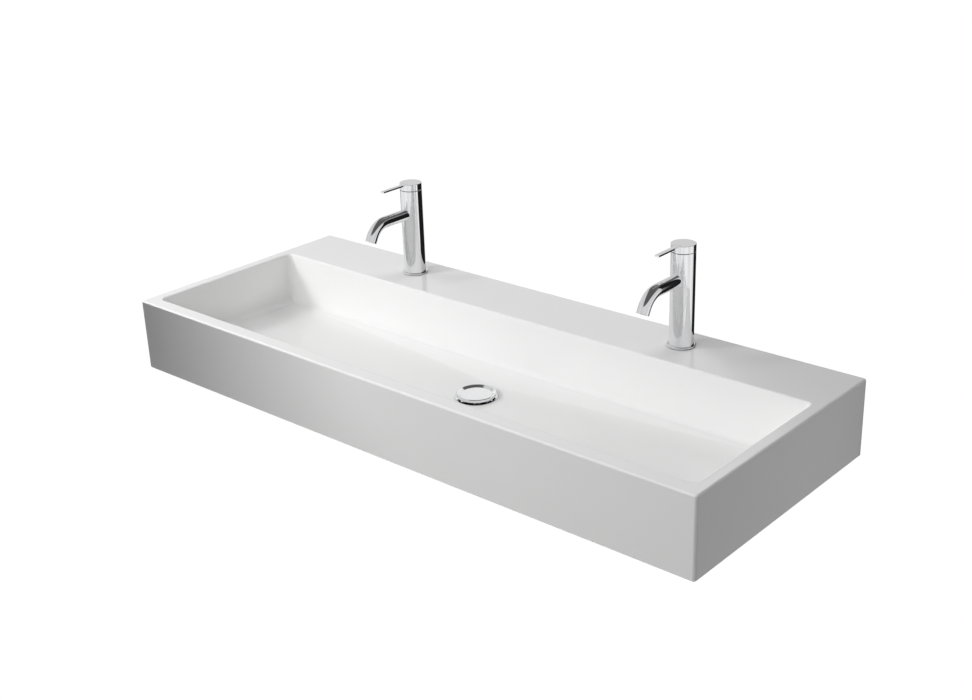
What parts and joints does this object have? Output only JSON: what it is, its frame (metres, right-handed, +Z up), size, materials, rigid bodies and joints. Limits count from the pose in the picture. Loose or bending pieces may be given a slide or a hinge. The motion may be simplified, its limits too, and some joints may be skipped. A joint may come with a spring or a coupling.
{
  "type": "double washbasin",
  "caption": "Long ceramic trough washbasin with a tap platform, single-lever chrome pillar taps and a push plug waste, for hanging on a wall.",
  "frame": {"origin": "on the wall plane, midway between the wall bolts and at their height", "axes": "+X to the right along the basin's length, +Y into the wall, +Z up"},
  "size_m": [1.2, 0.47, 0.352],
  "materials": {
    "glaze": "glossy white glaze",
    "chrome": "polished",
    "brass": "machined",
    "copper": "drawn tube",
    "steel": "zinc plated",
    "rubber": "matt black",
    "white_plastic": "moulded",
    "grey_plastic": "moulded",
    "disc_ceramic": "lapped"
  },
  "bodies": {
    "washbasin": {"basin": "glaze", "left_base_seal": "rubber", "left_base_ring": "chrome", "left_column": "chrome", "left_inlet_block": "brass", "left_inlet_nipples": "brass", "left_feed_tubes": "copper", "left_mounting_stud": "steel", "left_fixing_pad": "rubber", "left_fixing_plate": "steel", "left_fixing_nut": "steel", "left_spout": "chrome", "left_aerator_housing": "chrome", "left_aerator_insert": "grey_plastic", "left_cartridge_seals": "rubber", "left_cartridge_body": "white_plastic", "left_fixed_disc": "disc_ceramic", "left_cartridge_nut": "brass", "left_cartridge_cover": "chrome", "right_base_seal": "rubber", "right_base_ring": "chrome", "right_column": "chrome", "right_inlet_block": "brass", "right_inlet_nipples": "brass", "right_feed_tubes": "copper", "right_mounting_stud": "steel", "right_fixing_pad": "rubber", "right_fixing_plate": "steel", "right_fixing_nut": "steel", "right_spout": "chrome", "right_aerator_housing": "chrome", "right_aerator_insert": "grey_plastic", "right_cartridge_seals": "rubber", "right_cartridge_body": "white_plastic", "right_fixed_disc": "disc_ceramic", "right_cartridge_nut": "brass", "right_cartridge_cover": "chrome", "waste_body": "chrome", "waste_top_seal": "rubber", "waste_bottom_seal": "rubber", "waste_backnut": "white_plastic", "click_guide": "brass", "plug_spring": "steel"},
    "left_turret": {"left_turret": "white_plastic", "left_cross_pin": "steel"},
    "left_handle": {"left_spindle": "steel", "left_handle_cap": "chrome", "left_lever": "chrome", "left_grub_screw": "steel"},
    "left_disc": {"left_moving_disc": "disc_ceramic"},
    "right_turret": {"right_turret": "white_plastic", "right_cross_pin": "steel"},
    "right_handle": {"right_spindle": "steel", "right_handle_cap": "chrome", "right_lever": "chrome", "right_grub_screw": "steel"},
    "right_disc": {"right_moving_disc": "disc_ceramic"},
    "plug": {"plug_cap": "chrome", "plug_seal": "rubber", "plug_stem": "brass"}
  },
  "joints": [
    {"name": "left_temperature", "type": "hinge", "parent": "washbasin", "child": "left_turret", "pos_m": [-0.3, -0.059, 0.201], "axis": [0, 0, 1], "range_deg": [-45, 45]},
    {"name": "left_lift", "type": "hinge", "parent": "left_turret", "child": "left_handle", "pos_m": [-0.3, -0.059, 0.201], "axis": [-1, 0, 0], "range_deg": [0, 22]},
    {"name": "left_disc_slide", "type": "slide", "parent": "left_turret", "child": "left_disc", "axis": [0, -1, 0], "range_m": [0, 0.00375]},
    {"name": "right_temperature", "type": "hinge", "parent": "washbasin", "child": "right_turret", "pos_m": [0.3, -0.059, 0.201], "axis": [0, 0, 1], "range_deg": [-45, 45]},
    {"name": "right_lift", "type": "hinge", "parent": "right_turret", "child": "right_handle", "pos_m": [0.3, -0.059, 0.201], "axis": [-1, 0, 0], "range_deg": [0, 22]},
    {"name": "right_disc_slide", "type": "slide", "parent": "right_turret", "child": "right_disc", "axis": [0, -1, 0], "range_m": [0, 0.00375]},
    {"name": "plug_press", "type": "slide", "parent": "washbasin", "child": "plug", "axis": [0, 0, 1], "range_m": [-0.0047, 0], "stiffness_N_per_m": 800, "springref_m": 0.004, "deforming": ["plug_spring"]}
  ],
  "couplings": [
    {"joint": "left_disc_slide", "follows": "left_lift", "m_per_rad": 0.00975},
    {"joint": "right_disc_slide", "follows": "right_lift", "m_per_rad": 0.00975}
  ]
}
